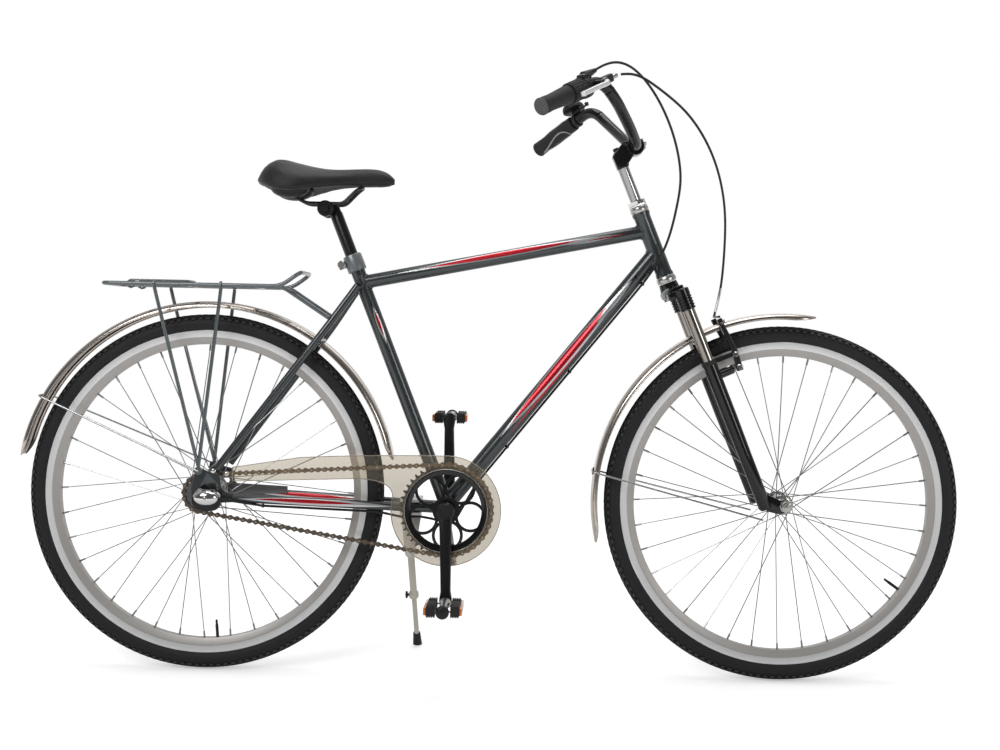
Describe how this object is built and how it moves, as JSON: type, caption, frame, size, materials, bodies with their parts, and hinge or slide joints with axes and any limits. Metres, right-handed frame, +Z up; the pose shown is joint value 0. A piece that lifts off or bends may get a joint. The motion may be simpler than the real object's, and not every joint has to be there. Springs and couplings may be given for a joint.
{
  "type": "touring bicycle",
  "caption": "Touring bicycle with suspension fork, hub gear, chain guard, mudguards, rear carrier, swept handlebar and side stand, leaning on its stand.",
  "frame": {"origin": "middle of the footprint on the ground", "axes": "+X forwards along the wheelbase, +Y to the rider's left, +Z up"},
  "size_m": [1.853, 0.6266, 1.2005],
  "materials": {
    "frame_paint": "metallic dark green-grey lacquer",
    "polished_steel": "satin",
    "gloss_black": "gloss",
    "black_plastic": "matt",
    "gear_cover_alloy": "polished",
    "chain_steel": "oiled brown",
    "chrome": "polished",
    "tyre_rubber": "matt",
    "rim_alloy": "satin",
    "grip_rubber": "matt",
    "grey_plastic": "matt",
    "smoked_plastic": "clear, smoked",
    "saddle_cover": "matt grained",
    "beige_paint": "satin"
  },
  "bodies": {
    "frame": {"head_tube": "frame_paint", "top_tube": "frame_paint", "down_tube": "frame_paint", "seat_tube": "frame_paint", "chain_stay_right": "frame_paint", "chain_stay_left": "frame_paint", "seat_stay_right": "frame_paint", "seat_stay_left": "frame_paint", "headset_lower_cup": "polished_steel", "headset_upper_cup": "polished_steel", "bottom_bracket_unit": "polished_steel", "rear_axle": "polished_steel", "gear_cover": "gear_cover_alloy", "coaster_brake_arm": "polished_steel", "carrier_deck": "gloss_black", "carrier_leg_right": "gloss_black", "carrier_leg_left": "gloss_black", "rear_mudguard": "chrome", "chain_guard": "smoked_plastic", "chain": "chain_steel", "stand_bracket": "polished_steel", "shift_cable": "black_plastic"},
    "rear_wheel": {"rear_tyre": "tyre_rubber", "rear_rim": "rim_alloy", "rear_hub": "polished_steel"},
    "sprocket": {"rear_sprocket": "polished_steel"},
    "crankset": {"bottom_bracket_spindle": "polished_steel", "chainring": "gloss_black", "crank_arm_right": "gloss_black", "crank_arm_left": "gloss_black"},
    "pedal_right": {"pedal_right": "black_plastic"},
    "pedal_left": {"pedal_left": "black_plastic"},
    "steered": {"fork_crown": "gloss_black", "headset_locknut": "polished_steel", "stem": "chrome", "handlebar": "chrome", "grip_right": "grip_rubber", "grip_left": "grey_plastic", "shifter_housing": "black_plastic", "brake_lever_bracket": "gloss_black", "bell": "black_plastic", "brake_cable": "black_plastic"},
    "fork_lowers": {"fork_lowers": "gloss_black", "front_axle": "polished_steel", "front_mudguard": "chrome"},
    "front_wheel": {"front_tyre": "tyre_rubber", "front_rim": "rim_alloy", "front_hub": "polished_steel"},
    "brake_arm_right": {"brake_arm_right": "gloss_black"},
    "brake_arm_left": {"brake_arm_left": "gloss_black"},
    "brake_lever": {"brake_lever": "rim_alloy"},
    "twist_grip": {"twist_grip": "grip_rubber"},
    "bell_striker": {"bell_striker": "grey_plastic"},
    "carrier_clip": {"carrier_clip": "gloss_black"},
    "stand": {"stand_leg": "beige_paint"},
    "stand_extension": {"stand_extension": "beige_paint"},
    "seatpost": {"seatpost": "gloss_black"},
    "saddle": {"saddle_clamp": "polished_steel", "saddle_rails": "polished_steel", "saddle": "saddle_cover"}
  },
  "joints": [
    {"name": "rear_wheel_spin", "type": "hinge", "parent": "frame", "child": "rear_wheel", "pos_m": [-0.55619, -0.09192, 0.34626], "axis": [0, 0.9903, -0.1392], "continuous": true},
    {"name": "crank_spin", "type": "hinge", "parent": "frame", "child": "crankset", "pos_m": [-0.08119, -0.09512, 0.32349], "axis": [0, 0.9903, -0.1392], "continuous": true, "deforming": ["chain"]},
    {"name": "sprocket_spin", "type": "hinge", "parent": "frame", "child": "sprocket", "pos_m": [-0.55619, -0.09192, 0.34626], "axis": [0, 0.9903, -0.1392], "continuous": true, "deforming": ["chain"]},
    {"name": "pedal_right_spin", "type": "hinge", "parent": "crankset", "child": "pedal_right", "pos_m": [-0.07615, -0.11877, 0.15521], "axis": [0, 0.9903, -0.1392], "continuous": true},
    {"name": "pedal_left_spin", "type": "hinge", "parent": "crankset", "child": "pedal_left", "pos_m": [-0.08623, -0.07147, 0.49176], "axis": [0, 0.9903, -0.1392], "continuous": true},
    {"name": "steering", "type": "hinge", "parent": "frame", "child": "steered", "pos_m": [0.53058, -0.09457, 0.32739], "axis": [-0.3811, 0.1287, 0.9155], "range_deg": [-60, 60], "deforming": ["shift_cable"]},
    {"name": "fork_travel", "type": "slide", "parent": "steered", "child": "fork_lowers", "axis": [-0.3811, 0.1287, 0.9155], "range_m": [0, 0.045], "stiffness_N_per_m": 8000, "springref_m": -0.02, "deforming": ["brake_cable"]},
    {"name": "front_wheel_spin", "type": "hinge", "parent": "fork_lowers", "child": "front_wheel", "pos_m": [0.57681, -0.09192, 0.34626], "axis": [0, 0.9903, -0.1392], "continuous": true},
    {"name": "brake_lever", "type": "hinge", "parent": "steered", "child": "brake_lever", "pos_m": [0.20265, -0.18872, 1.15673], "axis": [0.2779, 0.1681, -0.9458], "range_deg": [0, 16], "stiffness_Nm_per_rad": 1.5, "springref_deg": -8.59},
    {"name": "brake_arm_right", "type": "hinge", "parent": "fork_lowers", "child": "brake_arm_right", "pos_m": [0.48376, -0.09427, 0.61697], "axis": [-0.9245, -0.053, -0.3774], "range_deg": [0, 4.4], "deforming": ["brake_cable"]},
    {"name": "brake_arm_left", "type": "hinge", "parent": "fork_lowers", "child": "brake_arm_left", "pos_m": [0.48376, -0.01504, 0.60583], "axis": [0.9245, 0.053, 0.3774], "range_deg": [0, 4.4], "deforming": ["brake_cable"]},
    {"name": "twist_grip", "type": "hinge", "parent": "steered", "child": "twist_grip", "pos_m": [0.13581, -0.22025, 1.13149], "axis": [0.6227, 0.7182, 0.3106], "range_deg": [0, 75]},
    {"name": "bell_striker", "type": "hinge", "parent": "steered", "child": "bell_striker", "pos_m": [0.16976, 0.21753, 1.11143], "axis": [-0.2779, 0.4223, 0.8628], "range_deg": [0, 30], "stiffness_Nm_per_rad": 0.02, "springref_deg": -11.46},
    {"name": "carrier_clip", "type": "hinge", "parent": "frame", "child": "carrier_clip", "pos_m": [-0.70619, -0.03541, 0.74831], "axis": [0, -0.9903, 0.1392], "range_deg": [0, 70], "stiffness_Nm_per_rad": 0.4, "springref_deg": -28.65},
    {"name": "stand_fold", "type": "hinge", "parent": "frame", "child": "stand", "pos_m": [-0.15419, -0.08784, 0.23158], "axis": [0, 0.9925, 0.1219], "range_deg": [0, 92]},
    {"name": "stand_length", "type": "slide", "parent": "stand", "child": "stand_extension", "axis": [-0.0315, -0.388, 0.9211], "range_m": [-0.03, 0.006]},
    {"name": "seat_height", "type": "slide", "parent": "frame", "child": "seatpost", "axis": [-0.3746, 0.129, 0.9182], "range_m": [-0.05, 0.06]},
    {"name": "saddle_tilt", "type": "hinge", "parent": "seatpost", "child": "saddle", "pos_m": [-0.33219, -0.0137, 0.90279], "axis": [0, 0.9903, -0.1392], "range_deg": [-10, 10]}
  ],
  "couplings": [
    {"joint": "sprocket_spin", "follows": "crank_spin", "ratio": 2.4444},
    {"joint": "brake_arm_right", "follows": "brake_lever", "ratio": 0.275},
    {"joint": "brake_arm_left", "follows": "brake_lever", "ratio": 0.275}
  ]
}
